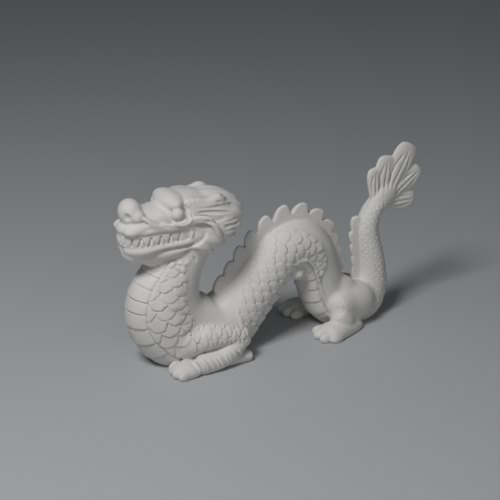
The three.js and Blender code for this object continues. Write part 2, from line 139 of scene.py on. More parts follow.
def turned_rod(sides, rows, cap):
    """A rod of length 1 and radius 1 on Z, spun from its profile, with rounded ends."""
    profile = [(0.0, 0.0)]
    for k in range(1, 4):
        angle = math.pi / 2 * k / 4
        profile.append((math.sin(angle), cap[0] * (1 - math.cos(angle))))
    for k in range(rows + 1):
        profile.append((1.0, cap[0] + (1 - cap[0] - cap[1]) * k / rows))
    for k in range(3, 0, -1):
        angle = math.pi / 2 * k / 4
        profile.append((math.sin(angle), 1 - cap[1] * (1 - math.cos(angle))))
    profile.append((0.0, 1.0))
    bm = bmesh.new()
    verts = [bm.verts.new((r, 0.0, z)) for r, z in profile]
    edges = [bm.edges.new(pair) for pair in zip(verts, verts[1:])]
    bmesh.ops.spin(
        bm, geom=verts + edges, cent=(0, 0, 0), axis=(0, 0, 1), angle=2 * math.pi,
        steps=sides, use_merge=True,
    )
    bmesh.ops.remove_doubles(bm, verts=bm.verts, dist=1e-5)
    bmesh.ops.recalc_face_normals(bm, faces=bm.faces)
    return bm


def lump(bm):
    mesh = bpy.data.meshes.new("lump")
    bm.to_mesh(mesh)
    bm.free()
    return mesh


def taper(stations, across=(0, 1, 0), sides=20, step=2.0, ends=(1.0, 1.0)):
    """A round-ended taper bent along a curve. Stations: x, y, z, half depth[, half width]."""
    rows = [tuple(s) if len(s) == 5 else (*s, s[3]) for s in stations]
    line = curve(rows, 40 * len(rows))
    lengths = np.linalg.norm(np.diff(line[:, :3], axis=0), axis=1)
    total = lengths.sum()
    cap = [min(ends[0] * rows[0][3] / total, 0.35), min(ends[1] * rows[-1][3] / total, 0.35)]
    mesh = lump(turned_rod(sides, max(int(total / step), 3), cap))
    unit = coordinates(mesh)
    _, outward, sideways = frames(line, across)
    shares = np.linspace(0, 1, len(line))
    t = np.clip(unit[:, 2], 0, 1)

    def read(values):
        return np.stack([np.interp(t, shares, values[:, k]) for k in range(values.shape[1])], 1)

    centre = read(line)
    points = (
        centre[:, :3]
        + read(outward) * (unit[:, 0] * centre[:, 3])[:, None]
        + read(sideways) * (unit[:, 1] * centre[:, 4])[:, None]
    )
    set_coordinates(mesh, points)
    return mesh


def ball(centre, radii, turn=(0, 0, 0)):
    """An ellipsoid; turn is in degrees about X, Y and Z."""
    bm = bmesh.new()
    bmesh.ops.create_uvsphere(bm, u_segments=24, v_segments=14, radius=1)
    bmesh.ops.scale(bm, vec=radii, verts=bm.verts)
    for angle, axis in zip(turn, "XYZ"):
        if angle:
            bmesh.ops.rotate(
                bm, cent=(0, 0, 0), verts=bm.verts,
                matrix=Matrix.Rotation(math.radians(angle), 3, axis),
            )
    bmesh.ops.translate(bm, vec=centre, verts=bm.verts)
    return lump(bm)


def on_side(rows, s):
    """Stations moved to one side of the body: s is 1 or -1."""
    return [(row[0], s * row[1], *row[2:]) for row in rows]


def both(make):
    """What make gives for each side of the body."""
    return [mesh for s in (-1, 1) for mesh in make(s)]


def pile(meshes, name="clay"):
    """All the lumps in one object, still passing through each other."""
    bm = bmesh.new()
    for mesh in meshes:
        bm.from_mesh(mesh)
    joined = bpy.data.meshes.new(name)
    bm.to_mesh(joined)
    bm.free()
    piece = bpy.data.objects.new(name, joined)
    bpy.context.scene.collection.objects.link(piece)
    return piece


def settle(piece):
    """Makes the piece's modifiers real."""
    graph = bpy.context.evaluated_depsgraph_get()
    mesh = bpy.data.meshes.new_from_object(piece.evaluated_get(graph))
    piece.modifiers.clear()
    piece.data = mesh


def knead(meshes, grain, rubs):
    """Lumps fused into one skin of the given grain, then rubbed smooth."""
    piece = pile(meshes)
    fuse = piece.modifiers.new("fuse", "REMESH")
    fuse.mode = "VOXEL"
    fuse.voxel_size = grain
    fuse.adaptivity = 0.0
    rub = piece.modifiers.new("rub", "SMOOTH")
    rub.iterations = rubs
    rub.factor = 0.5
    settle(piece)
    mesh = piece.data
    bpy.data.objects.remove(piece)
    return mesh


# ---- big masses ------------------------------------------------------------------------

body = taper([(x, 0, z, deep, wide) for x, z, deep, wide in SPINE], sides=64, ends=(0.4, 0.6))
UPPER_ARM = [(-66, 18, 21, 12), (-56, 22.5, 24, 11.2), (-45, 25.5, 24.8, 9.9),
             (-34, 27.2, 23.6, 8.8), (-24, 28, 21.6, 7.4), (-17, 27.6, 20, 6)]
FOREARM = [(-16.5, 28.5, 19.4, 4.6), (-25, 30.6, 17, 6.2), (-35, 32.4, 12.6, 7.8),
           (-45, 33, 8.2, 8), (-58, 33.4, 6.8, 8), (-68, 33, 6, 8.2)]
SPUR = [(-48, 30, 3.4, 5, 6), (-33, 30, 4, 5.4, 6.2), (-23, 30, 4.2, 5.2, 6.4),
        (-15, 30, 3.2, 4.4, 5.6)]
ARCH_PAD = (37, 0, 57.5)
ARCH_PAD_RADII = (9.2, 20, 8.8)
KNEE = (65.5, 27, 26)
KNEE_RADII = (12, 10.4, 11.6)


def limb_masses(s):
    """Soft shoulder, haunch, shin and cheek, which melt into the body."""
    return [
        taper(on_side([(-74, 15, 20, 13), (-60, 20, 22.5, 12), (-50, 23, 23.5, 10)], s)),
        taper(on_side([(114, 5, 17, 13.5), (102, 7.5, 19, 16), (92, 10.5, 20.4, 16.4),
                       (83, 14.5, 22, 14.6), (75, 19.5, 24, 12), (66, 25.2, 26.4, 12)], s)),
        taper(on_side([(93, 14, 11, 10.5), (84, 19, 8.5, 9), (74, 22.5, 7.5, 8.5)], s)),
        ball((80, s * 19, 14.5), (13, 9.5, 11)),
        ball((82, s * 8, 31), (19, 12, 13.5), turn=(0, 32, 0)),
        taper(on_side([(67, 23, 21, 9.5), (74, 24.5, 13, 9.4), (84, 22, 6, 8)], s)),
        ball((-62, s * 16, 122), (14, 7, 9)),
    ]


def limb_features(s):
    """Arm, paw, foot and toes, set on with a crisp crease."""
    made = [
        taper(on_side(UPPER_ARM, s)),
        taper(on_side(FOREARM, s)),
        taper(on_side(SPUR, s)),
        ball((-73, s * 31.4, 4.4), (13.4, 10.4, 7.2)),
        taper(on_side([(94.5, 20.5, 2.2, 4, 4.6), (86, 23, 3.6, 6.5, 7), (74, 26, 4.4, 8.6, 9.4),
                       (61, 28.5, 4.4, 8.2, 12), (53, 29, 3.6, 7, 12.6)], s)),
    ]
    made += [
        ball((x, s * y, z), (6.6, 4, 4.8), turn=(0, 0, s * turn))
        for x, y, z, turn in ((-78.4, 22.2, 3.4, 14), (-80.6, 27.6, 3.8, 6),
                              (-81, 33.2, 3.9, -4), (-78.6, 38, 3.6, -14))
    ]
    made += [
        ball((x, s * y, z), radii, turn=(0, 0, s * turn))
        for x, y, z, radii, turn in (
            (56.4, 18.6, 3.4, (7.4, 4.8, 4.8), 12), (53.8, 25.8, 3.8, (8, 5, 5.4), 4),
            (54.6, 33.2, 3.6, (8, 4.8, 5.2), -8), (62, 37, 3, (8, 4, 4.4), -20))
    ]
    return made


def head_masses():
    """Skull, mane, muzzle, jaws and brow, as big plain forms."""
    return [
        ball((-62, 0, 125), (27, 19, 15)),
        ball((-42, 0, 120.5), (27, 19.5, 18)),
        taper([(-60, 0, 127, 12, 18), (-80, 0, 126, 9, 15), (-95, 0, 126, 8.5, 12),
               (-105, 0, 124.5, 7.5, 10.5)], ends=(0.8, 0.9)),
        taper([(-54, 0, 113, 8, 17.5), (-78, 0, 112, 8, 15.5), (-96, 0, 111, 8, 11.8),
               (-108, 0, 111, 7.5, 7)]),
        taper([(-50, 0, 106, 12, 19), (-72, 0, 101.5, 11.5, 17.4), (-84, 0, 98.6, 10.6, 15.8),
               (-96, 0, 98.8, 9.8, 13.2), (-105.5, 0, 101.4, 8, 9)]),
        taper([(-104, 0, 129.4, 8.8, 9.8), (-94, 0, 127.2, 7.8, 11.4), (-84, 0, 126.4, 7.4, 12.6),
               (-72, 0, 128, 8, 13)]),
        ball((-90, 0, 124.5), (17, 15.4, 8)),
        ball((-60, 0, 134), (20, 17.4, 8.4)),
        ball((-80, 11, 126), (11, 6, 7)),
        ball((-80, -11, 126), (11, 6, 7)),
        ball((-48, 0, 130.4), (17, 21, 8.6)),
    ]


# ---- features --------------------------------------------------------------------------

# Runs of the fin, by place along the body. The pitch and height of the teeth go by their share
# of the run, and notch is how much of that height the gap between two teeth keeps.
FIN_RUNS = [
    {
        "start": 157, "end": 300,
        "pitch": ((0, 14), (0.35, 15), (0.6, 14), (0.8, 12), (1, 11)),
        "peak": ((0, 9), (0.15, 13), (0.45, 15), (0.62, 12), (0.75, 8), (1, 6.5)), "notch": 0.45,
    },
    {
        "start": 356, "end": 415,
        "pitch": ((0, 11), (1, 11.5)),
        "peak": ((0, 7), (0.5, 8.5), (1, 8)), "notch": 0.74,
    },
]
# Leaves of the tail fan: foot x, z, tip x, z, width, thickness. Webs join them at the foot.
LEAVES = [
    (118.5, 101, 118.4, 130.6, 15.5, 8), (125, 102, 130.4, 139.5, 19.5, 9),
    (129, 103, 153.4, 146.4, 23.5, 10), (131, 100, 164, 123.4, 18.5, 9),
    (127, 97.5, 159.6, 97, 18, 8.5),
]
WEBS = [
    [(118, 0, 94, 9, 7.5), (127, 0, 103, 11, 6.5), (141, 0, 117, 9, 4)],
    [(128, 0, 103, 6, 5), (138, 0, 126, 7, 3)],
    [(130, 0, 101, 6, 5), (149, 0, 123, 8, 3)],
    [(129, 0, 99, 6, 5), (147, 0, 107, 8, 3)],
]
UPPER_LIP = [(-112.5, 0, 118.8), (-108, 8.5, 118), (-101.5, 13.4, 118), (-91.5, 16.2, 119),
             (-80, 17.8, 119.4), (-69, 19.2, 120), (-60, 20.4, 119)]
LOWER_LIP = [(-109.6, 0, 103.6), (-105.2, 8, 102.8), (-98, 13.2, 103.2), (-87, 16.2, 104.6),
             (-74, 18.4, 105.8), (-65, 19.8, 106.8), (-59, 20.8, 109.2)]
LOWER_LIP_RADII = (5.2, 4.8, 4, 3.3, 3, 2.8, 2.4)
GUM = [(-113.2, 0, 111.6), (-109.2, 7.2, 111), (-102.6, 12.2, 110.6), (-94, 15, 110.8),
       (-84, 16.6, 111.4), (-74, 17.8, 112), (-65, 18.8, 112.4)]
MOUTH_CORNER = [(-66, 20.4, 119.4), (-60, 21.2, 118.4), (-56.8, 21.6, 114.6),
                (-58.6, 21.4, 110.2), (-65, 20.4, 107.4)]
WHISKER = [(-99, 13.5, 129.6), (-95, 15.5, 125.5), (-90.5, 17, 122.6), (-85, 18, 121.2),
           (-77, 19.8, 121), (-66.5, 21.8, 123.3), (-57, 24.8, 125.2), (-50, 27, 123.4),
           (-45.5, 28, 118), (-42.5, 27.8, 112), (-39, 26.8, 107.6)]
HORN = [(-66, 13.4, 135, 5, 5.4), (-60, 14.4, 135.2, 4.6, 4.8), (-54.5, 15.2, 135.6, 4.2, 4.4),
        (-48, 15.8, 134.2, 3.8, 4.2), (-42.5, 16, 134.8, 4, 4.2), (-37, 15.6, 136, 4.2, 4.4),
        (-31.5, 14.4, 133.6, 3.4, 3.8)]
HOOD = [(-66.8, -16.8, 136.4, 3, 4.6), (-69.4, -13.8, 136, 5.2, 8), (-71, -8, 136, 6.8, 9.2),
        (-71.6, 0, 136, 7.4, 9.8), (-71, 8, 136, 6.8, 9.2), (-69.4, 13.8, 136, 5.2, 8),
        (-66.8, 16.8, 136.4, 3, 4.6)]
EYE = (-72.6, 18.4, 129.8)
EYE_RADII = (5, 4.6, 4.8)
NOSE = (-104, 0, 131.4)
NOSE_RADII = (9.2, 11.4, 10.6)
LIP_TIP = (-108.8, 0, 118.7)
LIP_TIP_RADII = (6.4, 9, 4.9)
CHIN = (-102.6, 0, 99)
CHIN_RADII = (9.2, 10.6, 9.2)
THROAT = [(-98, 0, 97, 8, 11), (-90, 0, 94.6, 9, 13), (-80, 0, 92.5, 9, 15)]
LOCKS = [
    [(-54, 4, 131, 8, 6.5), (-42, 4.5, 133.6, 7.2, 6.5), (-28, 4.5, 130.6, 7, 6.2),
     (-14.5, 4.5, 126.5, 3.4, 3.2)],
    [(-52, 9, 127, 8, 7), (-38, 11, 129.5, 7.5, 7), (-24, 10, 126, 6.5, 6.6),
     (-11.8, 8, 121.5, 3.2, 3.4)],
    [(-54, 14, 124, 7.5, 7), (-40, 16, 125, 7, 6.6), (-25, 15, 121, 6.2, 6.2),
     (-12.8, 12, 115.5, 3, 3.2)],
    [(-54, 17, 120, 7, 6), (-41, 19.5, 119, 6.5, 5.8), (-28, 19, 114.5, 6, 5.4),
     (-18, 16.5, 109.5, 2.8, 3)],
    [(-55, 19, 116, 6.5, 5.5), (-44, 22, 113.5, 6.2, 5), (-33, 21.5, 109.5, 5.4, 4.8),
     (-24.5, 19.5, 105, 2.6, 2.8)],
    [(-58, 19, 111, 6.5, 5), (-49, 22, 107.5, 6, 4.8), (-40, 21.5, 103.5, 5, 4.4),
     (-33, 19.5, 99.5, 2.4, 2.6)],
    [(-62, 18.5, 106.5, 6, 5), (-55, 21, 102.5, 5.4, 4.6), (-48, 20.5, 98.5, 4.4, 4),
     (-43.5, 19, 94.5, 2.2, 2.4)],
]


def step_lengths(points):
    """Distance along a line to each of its points."""
    return np.concatenate([[0], np.cumsum(np.linalg.norm(np.diff(points, axis=0), axis=1))])


spine = curve([(x, 0, z, deep, wide) for x, z, deep, wide in SPINE], 1200)
spine_forward, spine_out, _ = frames(spine, (0, 1, 0))
spine_length = step_lengths(spine[:, :3])
spine_bend = -(np.gradient(spine_forward, axis=0) * spine_out).sum(1) / np.gradient(spine_length)


def by_place(pairs, place):
    """A value given at a few places, read at any place between them."""
    return np.interp(place, [p[0] for p in pairs], [p[1] for p in pairs])


def fin_tooth(first, second, peak, notch_share):
    """One rounded tooth leaning toward the tail, thinner toward its edge."""
    run = second - first
    pitch = np.linalg.norm(run)
    out = np.array((-run[2], 0, run[0])) / pitch
    notch = peak * notch_share
    rise = peak - notch
    # share of the pitch, height above the back
    outline = [
        (-0.12, -5), (-0.06, notch * 0.8), (0.0, notch), (0.2, notch + rise * 0.55),
        (0.45, notch + rise * 0.9), (0.7, peak), (0.88, notch + rise * 0.93),
        (0.98, notch + rise * 0.5), (1.02, notch), (1.08, notch * 0.8), (1.12, -5),
    ]
    line = np.vstack([outline[0], curve(outline[1:-1], 28), outline[-1]])
    bm = bmesh.new()
    face = bm.faces.new([bm.verts.new((share, 0, height)) for share, height in line])
    grown = bmesh.ops.extrude_face_region(bm, geom=[face])["geom"]
    bmesh.ops.translate(
        bm, vec=(0, 1, 0), verts=[v for v in grown if isinstance(v, bmesh.types.BMVert)]
    )
    bmesh.ops.recalc_face_normals(bm, faces=bm.faces)
    mesh = lump(bm)
    unit = coordinates(mesh)
    half = 3.2 * (1 - 0.5 * np.clip(unit[:, 2] / peak, 0, 1))
    set_coordinates(
        mesh,
        first + unit[:, :1] * run + unit[:, 2:] * out
        + np.outer((unit[:, 1] * 2 - 1) * half, (0, 1, 0)),
    )
    return mesh


def fin(run):
    """The teeth of one run, set along the back one after the other."""
    chosen = (spine_length >= run["start"]) & (spine_length <= run["end"])
    back = (spine[:, :3] + spine_out * spine[:, 3:4])[chosen]
    length = step_lengths(back)
    teeth = []
    place = 0.0
    while True:
        share = place / length[-1]
        pitch = by_place(run["pitch"], share)
        if place + pitch > length[-1]:
            return teeth
        first, second = (
            np.array([np.interp(at, length, back[:, k]) for k in range(3)])
            for at in (place, place + pitch)
        )
        teeth.append(fin_tooth(first, second, by_place(run["peak"], share), run["notch"]))
        place += pitch


def leaf(foot_x, foot_z, tip_x, tip_z, width, thick):
    """One flat leaf of the tail fan, widest near its round tip."""
    half, deep = width / 2, 0.4 * thick
    rows = []
    for t, wide, fat in ((0, 0.5, 0.9), (0.3, 0.74, 1), (0.55, 0.94, 1), (0.78, 1, 0.9),
                         (0.93, 0.8, 0.7), (1, 0.5, 0.45)):
        rows.append((foot_x + (tip_x - foot_x) * t, 0, foot_z + (tip_z - foot_z) * t,
                     half * wide, deep * fat))
    return taper(rows, step=1.5)


def rope(path, radius, s, thin=0.6):
    """A round cord of clay laid along a path, with its two ends thinned."""
    rows = [(x, s * y, z, radius * (thin if i in (0, len(path) - 1) else 1))
            for i, (x, y, z) in enumerate(path)]
    return taper(rows, across=(0, 0, 1), sides=14, step=1.2)


def lifted(path, dx, dy, dz):
    return [(x + dx, y + dy, z + dz) for x, y, z in path]


def head_lumps(s):
    """Rounded forms of the head, blended into each other."""
    made = [
        taper(on_side([(-97, 8, 131.6, 4.6, 4.6), (-101.6, 9.6, 129.6, 4.8, 4.6),
                       (-103.2, 9.4, 125.6, 4.4, 4.4)], s), step=1.2),
        ball((-105.2, s * 8.6, 118.9), (8.8, 7.2, 4.8)),
        ball((-99, s * 11.6, 120.4), (8.8, 5, 5.2)),
        taper(on_side(HORN, s), step=1.5),
        taper(on_side([(-66, 12.6, 130, 7.4, 6.6), (-52, 14.6, 129.6, 8, 6.8),
                       (-38, 14.4, 129, 8, 6.8), (-25, 11, 127, 6.4, 6)], s)),
        ball((-54, s * 19.5, 113), (8, 4.8, 8)),
        rope([(-92, 10, 97), (-84, 13, 98.4), (-72, 15.8, 100.2), (-60, 18, 102.8)], 5.2, s),
        taper([(x, s * y, z, radius) for (x, y, z), radius in zip(LOWER_LIP, LOWER_LIP_RADII)],
              across=(0, 0, 1), sides=14, step=1.2),
        taper(on_side([(-20, 7, 123, 6.5), (-23, 11, 115, 7), (-31, 14, 107, 7),
                       (-42, 16, 98.5, 6)], s)),
    ]
    return made + [taper(on_side(lock, s), sides=16, step=1.6) for lock in LOCKS]


def features(s):
    """Raised lines and small parts, set on crisply."""
    made = [
        rope(lifted(WHISKER, 0, 0.2, 0.9), 2, s),
        rope(lifted(WHISKER, 0, 0.2, -1.7), 1.7, s),
        rope(UPPER_LIP, 2.4, s, thin=1),
        rope(MOUTH_CORNER, 2.2, s, thin=1),
        rope([(-64, 20, 117), (-62.8, 21.2, 113), (-64, 20.6, 109)], 2.5, s),
        taper([(x, s * y, z, 2.4, 6) for x, y, z in GUM], across=(0, 0, 1), step=1.2),
        ball((-49.5, s * 22.4, 112.4), (4.6, 3, 4.2)),
        ball((-53, s * 22, 107), (4.4, 3, 3.6)),
    ]
    return made + limb_features(s)


# ---- surface coordinates ---------------------------------------------------------------


def smooth_step(low, high, value):
    t = np.clip((value - low) / (high - low), 0, 1)
    return t * t * (3 - 2 * t)


def read_line(line, run, forward, out, points):
    """Where points lie on a bent taper: place along it, turn round it from its outward side,
    share of its radius, and the nearest point of its line."""
    nearest = np.empty(len(points), int)
    centres = line[::2, :3]
    power = (centres ** 2).sum(1) - line[::2, 3] * line[::2, 4]
    for a in range(0, len(points), 20000):
        part = points[a:a + 20000]
        nearest[a:a + 20000] = (power[None] - 2 * part @ centres.T).argmin(1) * 2
    side = np.cross(out, forward)
    offset = points - line[nearest, :3]
    ahead = (offset * forward[nearest]).sum(1)
    up = (offset * out[nearest]).sum(1) / line[nearest, 3]
    across = (offset * side[nearest]).sum(1) / line[nearest, 4]
    return run[nearest] + ahead, np.arctan2(across, up), np.hypot(up, across), nearest


def scale_pattern(rows, columns, chance, angular=0.0):
    """Height of overlapping scales, free edges toward growing rows, from 0 to 1."""
    height = np.zeros(len(rows))
    groove = np.zeros(len(rows))
    found = np.zeros(len(rows), bool)
    base = np.floor(rows).astype(int)
    for back in (2, 1, 0):
        row = base - back
        shift = 0.5 * (row % 2)
        column = np.round(columns - shift).astype(int)
        dice = chance[row % 61, column % 61]
        off = np.clip((columns - shift - column - 0.1 * (dice[:, 0] - 0.5)) / 0.5, -1, 1)
        round_edge = np.sqrt(1 - np.abs(off) ** 2.6)
        cut_edge = np.clip((1 - np.abs(off)) * 1.8, 0, 1)
        edge = (row + 0.98 + 0.98 * (round_edge + (cut_edge - round_edge) * angular)
                + 0.2 * (dice[:, 1] - 0.5))
        inside = (rows <= edge) & ~found
        t = np.clip(1 - (edge - rows) / 1.9, 0, 1)
        tall = (0.15 + 0.85 * t ** 1.1) * (1 - 0.22 * off * off) * (0.85 + 0.3 * dice[:, 2])
        height[inside] = tall[inside]
        past = rows - edge
        groove = np.where(~found & ~inside, np.maximum(groove, np.exp(-((past / 0.16) ** 2))),
                          groove)
        found |= inside
    return height - 0.3 * groove


# ---- pressing the surface --------------------------------------------------------------


class Surface:
    """The clay's points and normals, and how far each point is to move along its normal."""

    def __init__(self, mesh):
        self.mesh = mesh
        self.points = coordinates(mesh)
        normals = np.empty(len(mesh.vertices) * 3, np.float32)
        mesh.vertex_normals.foreach_get("vector", normals)
        self.normals = normals.reshape(-1, 3).astype(float)
        self.move = np.zeros(len(self.points))

    def stroke(self, path, width, height, fade=0.25, flat=True, through=None):
        """A ridge (or groove, for a negative height) along a path, on both sides.

        Flat strokes are laid from the side: x and z count, y hardly, on all that faces that
        way. Others stay round their path, and reach further in the direction of through."""
        line = curve(path, max(8, int(step_lengths(np.asarray(path, float)).max() / 0.5)))
        share = np.linspace(0, 1, len(line))
        ends = smooth_step(0, fade, np.minimum(share, 1 - share) + 1e-6)
        for s in (-1, 1):
            centre = line * (1, s, 1)
            low, high = centre.min(0) - 2 * width, centre.max(0) + 2 * width
            if flat:
                low[1], high[1] = (-60, -1) if s < 0 else (1, 60)
            near = np.flatnonzero(((self.points > low) & (self.points < high)).all(1)
                                  & (self.normals[:, 1] * s > (0.1 if flat else -2)))
            if not len(near):
                continue
            span = self.points[near][:, None] - centre[None]
            if flat:
                span = span * (1, 0.12, 1)
            elif through is not None:
                way = np.array(through) * (1, s, 1)
                span = span - 0.8 * (span @ way)[..., None] * way
            gap = (span ** 2).sum(2)
            at = gap.argmin(1)
            reach = np.clip(1 - gap[np.arange(len(near)), at] / width ** 2, 0, 1) ** 2
            self.move[near] += height * reach * ends[at]

    def press(self):
        self.points += self.normals * self.move[:, None]
        self.move[:] = 0
        set_coordinates(self.mesh, self.points)


# Where the belly's border and the upper end of the scales run, in degrees round the body from
# the fin, and the pitch of scales and belly plates; all by the place along the body.
BORDER = ((0, 134), (60, 138), (78, 138), (92, 130), (130, 118), (175, 110), (215, 115),
          (245, 119), (290, 122), (340, 130), (430, 140))
SCALES_FROM = ((0, 108), (42, 96), (47, 86), (65, 74), (88, 64), (100, 84), (115, 100), (140, 100),
               (150, 76), (157, 58), (164, 50), (172, 42), (180, 32), (205, 12), (218, 8),
               (224, 20), (228, 34), (234, 50), (240, 62), (250, 70), (262, 92), (275, 125),
               (430, 150))
TAIL_SCALES_FROM = ((300, 150), (325, 55), (345, 25), (430, 8))
SCALE_PITCH = ((0, 5.4), (95, 5.6), (150, 4.8), (215, 5.1), (430, 5.1))
PLATE_PITCH = ((0, 7.4), (62, 7.4), (70, 6.3), (78, 6.6), (88, 8.4), (130, 9), (200, 10),
               (430, 10))


# A place between two plates, from which they are counted both ways.
FIRST_PLATE = 52.4
DEGREES_IN_A_RADIAN = 57.3


def count_along(pairs, place):
    """How many pitches lie between the start of the body and a place on it."""
    steps = np.diff(spine_length) / by_place(pairs, spine_length[1:])
    return np.interp(place, spine_length, np.concatenate([[0], np.cumsum(steps)]))


def carve_body(surface):
    """Scales down the sides of body and tail, and plates down the belly."""
    chance = np.random.default_rng(7).random((61, 61, 3))
    place, turn, share, nearest = read_line(
        spine, spine_length, spine_forward, spine_out, surface.points
    )
    turn = np.degrees(np.abs(turn))
    height = surface.points[:, 2]
    # the body's own skin, from neck to tail fan, clear of the jaw, the sole and the pad that
    # fills the top of the arch
    on_body = smooth_step(1.12, 1.05, share) * smooth_step(0.8, 0.9, share)
    on_body *= smooth_step(14, 24, place) * smooth_step(438, 426, place)
    on_body *= 1 - smooth_step(89, 92, height) * (place < 60)
    on_body *= smooth_step(0.8, 2.5, height)
    pad = np.linalg.norm((surface.points - ARCH_PAD) / ARCH_PAD_RADII, axis=1)
    on_body *= smooth_step(1.02, 1.25, pad)
    around = np.minimum(0.5 * (spine[nearest, 3] + spine[nearest, 4]), 29)
    border = by_place(BORDER, place)
    size = 0.45 + 0.55 * np.minimum(spine[nearest, 3], 21) / 21
    # scales, more pointed on the chest and lower where a tight bend crowds them
    angular = 0.5 * smooth_step(150, 95, place)
    bend = np.interp(place, spine_length, spine_bend)
    room = np.clip(1 + bend * around * np.cos(np.radians(turn)), 0.3, 1)
    scales = scale_pattern(count_along(SCALE_PITCH, place), (border - turn) / 30, chance, angular)
    start = by_place(SCALES_FROM, place)
    band = smooth_step(start - 5, start + 8, turn) * smooth_step(border + 2, border - 1, turn)
    surface.move += on_body * band * SCALE_RELIEF * room * scales
    # finer ones up the tail
    fine = scale_pattern(count_along(((0, 3), (430, 2.6)), place) + 0.25 * np.sin(turn / 9),
                         (border - turn) / 36, chance)
    start = by_place(TAIL_SCALES_FROM, place)
    band = smooth_step(start - 6, start + 12, turn) * smooth_step(306, 330, place)
    surface.move += on_body * band * TAIL_SCALE_RELIEF * fine
    # belly plates with a sunk border and a raised rim beside it
    plate = count_along(PLATE_PITCH, place) - count_along(PLATE_PITCH, FIRST_PLATE)
    part = plate - np.floor(plate)
    half = 180 - border
    from_belly = 180 - turn
    pillow = np.sqrt(np.clip(1 - (from_belly / half) ** 6, 0, 1))
    rise = (0.2 + 0.8 * part ** 0.9) * (1 - smooth_step(79, 85, height) * (place < 60))
    notch = np.exp(-((np.minimum(part, 1 - part) / 0.06) ** 2))
    visible = smooth_step(306, 292, place)
    plates = (from_belly < half) * (PLATE_RELIEF * rise * pillow - 0.5 * notch)
    edge = (from_belly - half) / DEGREES_IN_A_RADIAN * around
    chest = smooth_step(125, 105, place)
    rising = smooth_step(105, 125, place) * smooth_step(226, 214, place)
    rim = (0.7 * chest + 1.5 * (1 - chest)) * np.exp(-(((edge - 1.9) / (1.4 + 1.4 * chest)) ** 2))
    edging = rim - 1.35 * np.exp(-(((edge + 0.2) / 0.75) ** 2))
    surface.move += on_body * visible * size * (plates + edging * (1 - 0.85 * rising))


def carve_arm(surface, s):
    """Scales on the outer side of the upper arm."""
    chance = np.random.default_rng(11).random((61, 61, 3))
    line = curve(on_side([(*row, row[3]) for row in UPPER_ARM], s), 200)
    forward, out, _ = frames(line, (0, 1, 0))
    run = step_lengths(line[:, :3])
    low, high = line[:, :3].min(0) - 12, line[:, :3].max(0) + 12
    near = np.flatnonzero(((surface.points > low) & (surface.points < high)).all(1))
    points = surface.points[near]
    place, turn, share, nearest = read_line(line, run, forward, out, points)
    outer = smooth_step(-1, 2, (points[:, 1] * s - np.abs(line[nearest, 1])))
    scales = scale_pattern(place / 3.7, np.degrees(np.abs(turn)) / 76, chance)
    mask = (smooth_step(1.22, 1.08, share) * smooth_step(0.75, 0.88, share) * outer
            * smooth_step(0, 6, place) * smooth_step(run[-1] - 1, run[-1] - 7, place)
            * smooth_step(125, 110, np.degrees(np.abs(turn))))
    surface.move[near] += ARM_SCALE_RELIEF * mask * scales


def carve_knee(surface, s):
    """Fine scales on the outer side of the knee, fading out toward its front."""
    centre = np.array(KNEE) * (1, s, 1)
    gap = (surface.points - centre) / KNEE_RADII
    near = np.flatnonzero((np.linalg.norm(gap, axis=1) < 1.25) & (gap[:, 1] * s > -0.2))
    chance = np.random.default_rng(13).random((61, 61, 3))
    points, gap = surface.points[near], gap[near]
    scales = scale_pattern(points[:, 0] / 2.4, points[:, 2] / 4 + 0.2 * np.sin(points[:, 0]),
                           chance)
    mask = smooth_step(1, 0.75, np.hypot(gap[:, 0], gap[:, 2])) * smooth_step(-0.4, 0.2, gap[:, 0])
    surface.move[near] += KNEE_SCALE_RELIEF * mask * scales


def gum_line(places, heights):
    """Points on the outer face of the gum at these places and heights, and the way out of it."""
    line = curve(GUM, 300)
    run = step_lengths(line)
    points = []
    for at, height in zip(places, heights):
        at = min(at, run[-1] - 0.6)
        x, y, z = (np.interp(at, run, line[:, k]) for k in range(3))
        dx, dy = (np.interp(at + 0.5, run, line[:, k]) - np.interp(at - 0.5, run, line[:, k])
                  for k in range(2))
        way = np.array((-dy, dx, 0)) / math.hypot(dx, dy)
        points.append(np.array((x, y, z + height)) + 2.2 * way)
    return points, way


def carve_teeth(surface):
    """Upright slits between the front teeth, then a zigzag of slits between the side teeth."""

    def slit(places, heights, width, deep):
        path, way = gum_line(places, heights)
        surface.stroke(path, width, deep, fade=0.15, flat=False, through=way)

    for at, deep in ((2.4, -1.2), (6.6, -1.4), (11.6, -2.0)):
        slit((at, at + 0.2, at - 0.3), (3.4, 0, -4), 1.3, deep)
    for k in range(5):
        at = 18.3 + 7.7 * k
        slit((at - 2.4, at - 1, at), (-4.2, 0.2, 4), 1.15, -1.8 + 0.2 * k)
        if k < 4:
            slit((at, at + 1.6, at + 3.6), (4, 0, -4), 1.0, -1.2)


NOSTRIL = [(-109, 8.6, 134), (-110.2, 8.2, 130), (-109.4, 7.8, 126.4)]
